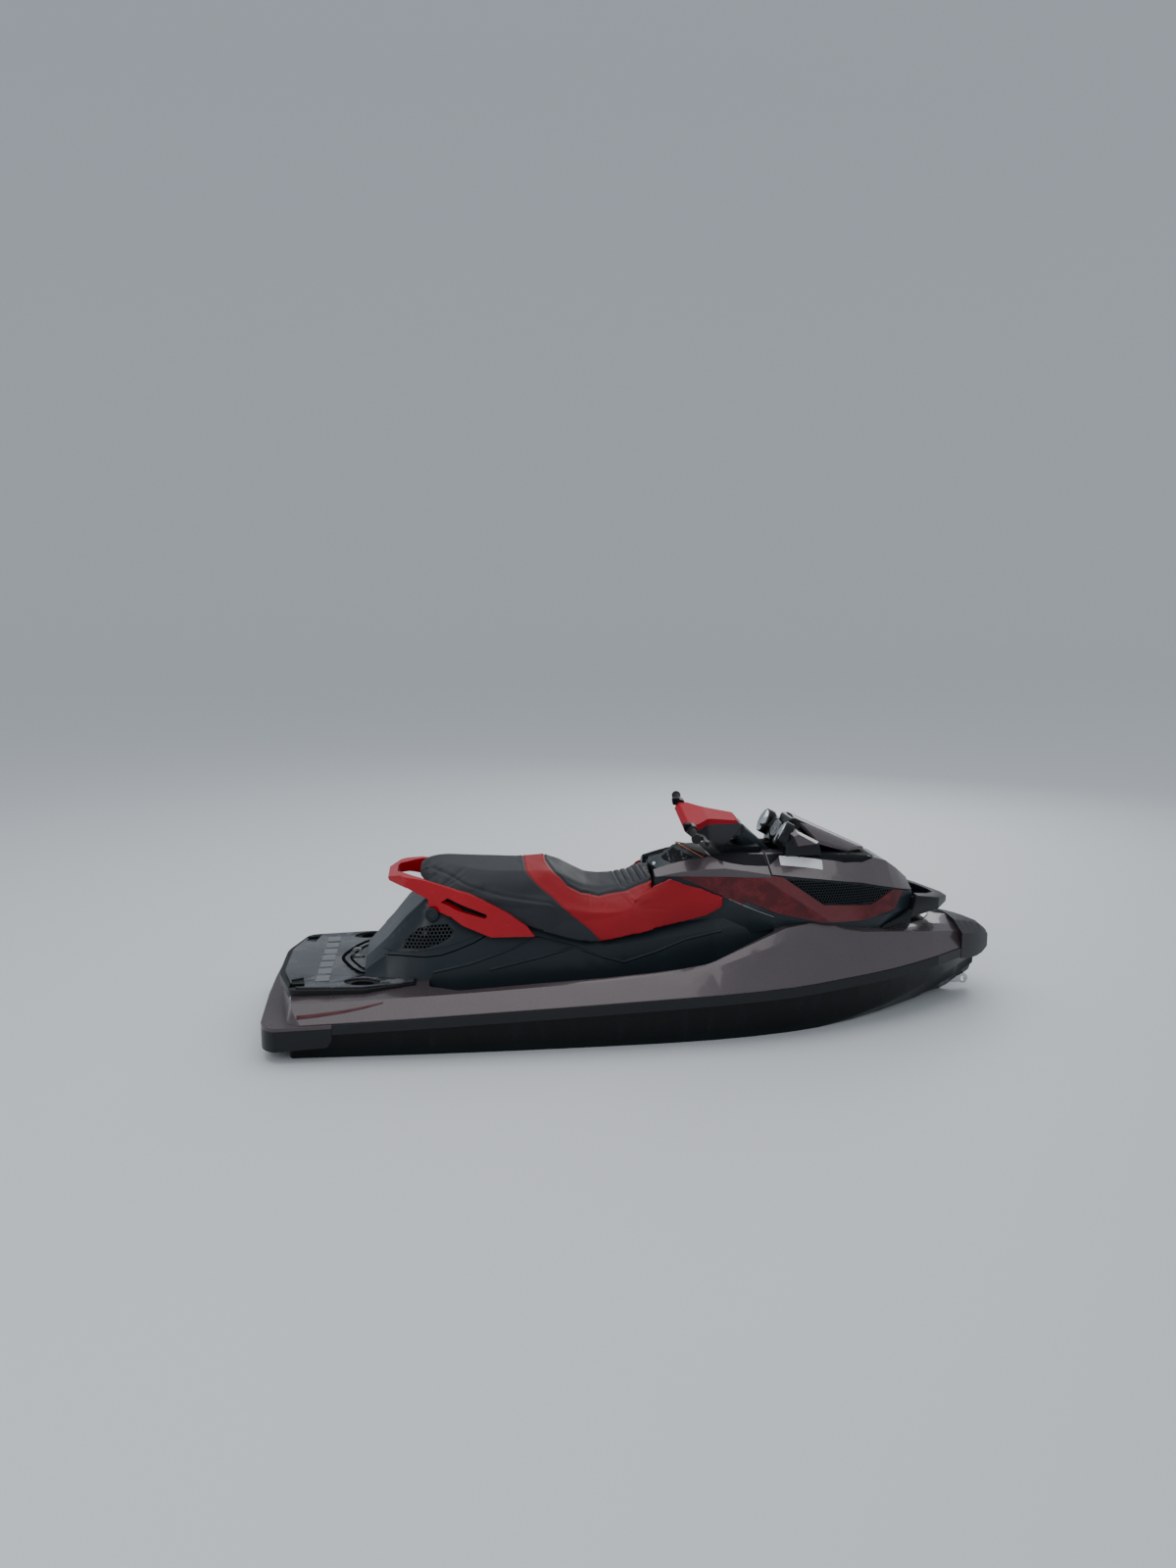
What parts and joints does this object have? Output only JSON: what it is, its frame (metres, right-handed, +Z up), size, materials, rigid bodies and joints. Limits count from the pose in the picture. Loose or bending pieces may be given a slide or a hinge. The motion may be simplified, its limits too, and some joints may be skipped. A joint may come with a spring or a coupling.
{
  "type": "personal watercraft",
  "caption": "Sit-down personal watercraft, afloat, with a stepped seat, raked steering column, tilting handlebar, opening hood and glove box, jet pump and reverse gate.",
  "frame": {"origin": "on the waterline plane, on the centreline, at mid length", "axes": "+X to the bow, +Y to port, +Z up"},
  "size_m": [3.568, 1.239, 1.2347],
  "materials": {
    "hull_black": "gloss gelcoat",
    "deck_plum": "metallic gloss gelcoat",
    "rail_rubber": "satin",
    "bumper_grey": "satin",
    "bumper_black": "satin",
    "black_plastic": "satin",
    "charcoal": "satin",
    "mat": "textured",
    "fairing_red": "gloss",
    "mesh_black": "mesh",
    "handle_red": "gloss",
    "pump_alloy": "cast",
    "engine_block": "cast",
    "steel": "polished",
    "gauge": "glass",
    "gloss_black": "gloss",
    "mirror": "mirror",
    "seat_pan": "satin",
    "seat_vinyl": "vinyl",
    "pad_red": "satin",
    "grip": "ribbed"
  },
  "bodies": {
    "craft": {"hull": "hull_black", "deck": "deck_plum", "rail": "rail_rubber", "bow_bumper": "bumper_grey", "stern_bumper": "bumper_black", "sponsons": "black_plastic", "saddle": "charcoal", "vent_panels": "charcoal", "footwell_mats": "mat", "platform": "black_plastic", "platform_pad": "mat", "front_body": "charcoal", "cowl": "deck_plum", "neck_collar": "charcoal", "side_fairings": "fairing_red", "side_meshes": "mesh_black", "bow_trim": "black_plastic", "glove_tub": "charcoal", "grab_handle": "handle_red", "pump_housing": "pump_alloy", "venturi": "pump_alloy", "ride_plate": "pump_alloy", "intake_grate": "pump_alloy", "engine": "engine_block", "bow_eye": "steel", "stern_eyes": "steel", "tow_eye": "steel", "gate_bracket": "steel", "step_brackets": "steel"},
    "hood": {"hood": "deck_plum", "gauge_pod": "black_plastic", "gauge_face": "gauge", "mirror_housings": "gloss_black", "mirror_glass": "mirror", "mirror_fins": "deck_plum", "deflector": "deck_plum"},
    "glovebox_lid": {"glovebox_lid": "charcoal"},
    "seat": {"seat_pan": "seat_pan", "seat_front": "seat_vinyl", "seat_rear": "seat_vinyl"},
    "steering": {"steering_neck": "charcoal"},
    "handlebar": {"bar_cover": "charcoal", "bar_pad": "pad_red", "bar_tube": "steel", "grips": "grip", "lever_pods": "black_plastic", "throttle_lever": "pump_alloy", "reverse_lever": "pump_alloy"},
    "nozzle": {"steering_nozzle": "pump_alloy"},
    "impeller": {"impeller": "steel", "drive_shaft": "steel"},
    "reverse_gate": {"reverse_gate": "black_plastic"},
    "boarding_step": {"boarding_step": "black_plastic"}
  },
  "joints": [
    {"name": "hood_hinge", "type": "hinge", "parent": "craft", "child": "hood", "pos_m": [1.3, 0, 0.566], "axis": [0, 1, 0], "range_deg": [0, 60]},
    {"name": "glovebox_hinge", "type": "hinge", "parent": "craft", "child": "glovebox_lid", "pos_m": [0.262, 0, 0.765], "axis": [0, 1, 0], "range_deg": [0, 30]},
    {"name": "seat_lift_off", "type": "slide", "parent": "craft", "child": "seat", "axis": [-0.5446, 0, 0.8387], "range_m": [0, 0.3]},
    {"name": "steering_turn", "type": "hinge", "parent": "craft", "child": "steering", "pos_m": [0.6, 0, 0.72], "axis": [-0.7071, 0, 0.7071], "range_deg": [-13.6, 26.4]},
    {"name": "handlebar_tilt", "type": "hinge", "parent": "steering", "child": "handlebar", "pos_m": [0.4494, 0, 0.8706], "axis": [0.0788, 0.9938, 0.0788], "range_deg": [-6, 8]},
    {"name": "nozzle_turn", "type": "hinge", "parent": "craft", "child": "nozzle", "pos_m": [-1.5, 0, -0.105], "axis": [0, 0, 1], "range_deg": [-26.4, 13.6]},
    {"name": "impeller_spin", "type": "hinge", "parent": "craft", "child": "impeller", "pos_m": [-1.11, 0, -0.105], "axis": [1, 0, 0], "continuous": true},
    {"name": "reverse_gate_swing", "type": "hinge", "parent": "craft", "child": "reverse_gate", "pos_m": [-1.56, 0, -0.055], "axis": [0, 1, 0], "range_deg": [-60, 0]},
    {"name": "boarding_step_fold", "type": "hinge", "parent": "craft", "child": "boarding_step", "pos_m": [-1.752, 0, -0.128], "axis": [0, 1, 0], "range_deg": [-170, 0]}
  ],
  "couplings": [
    {"joint": "nozzle_turn", "follows": "steering_turn", "ratio": -1}
  ]
}
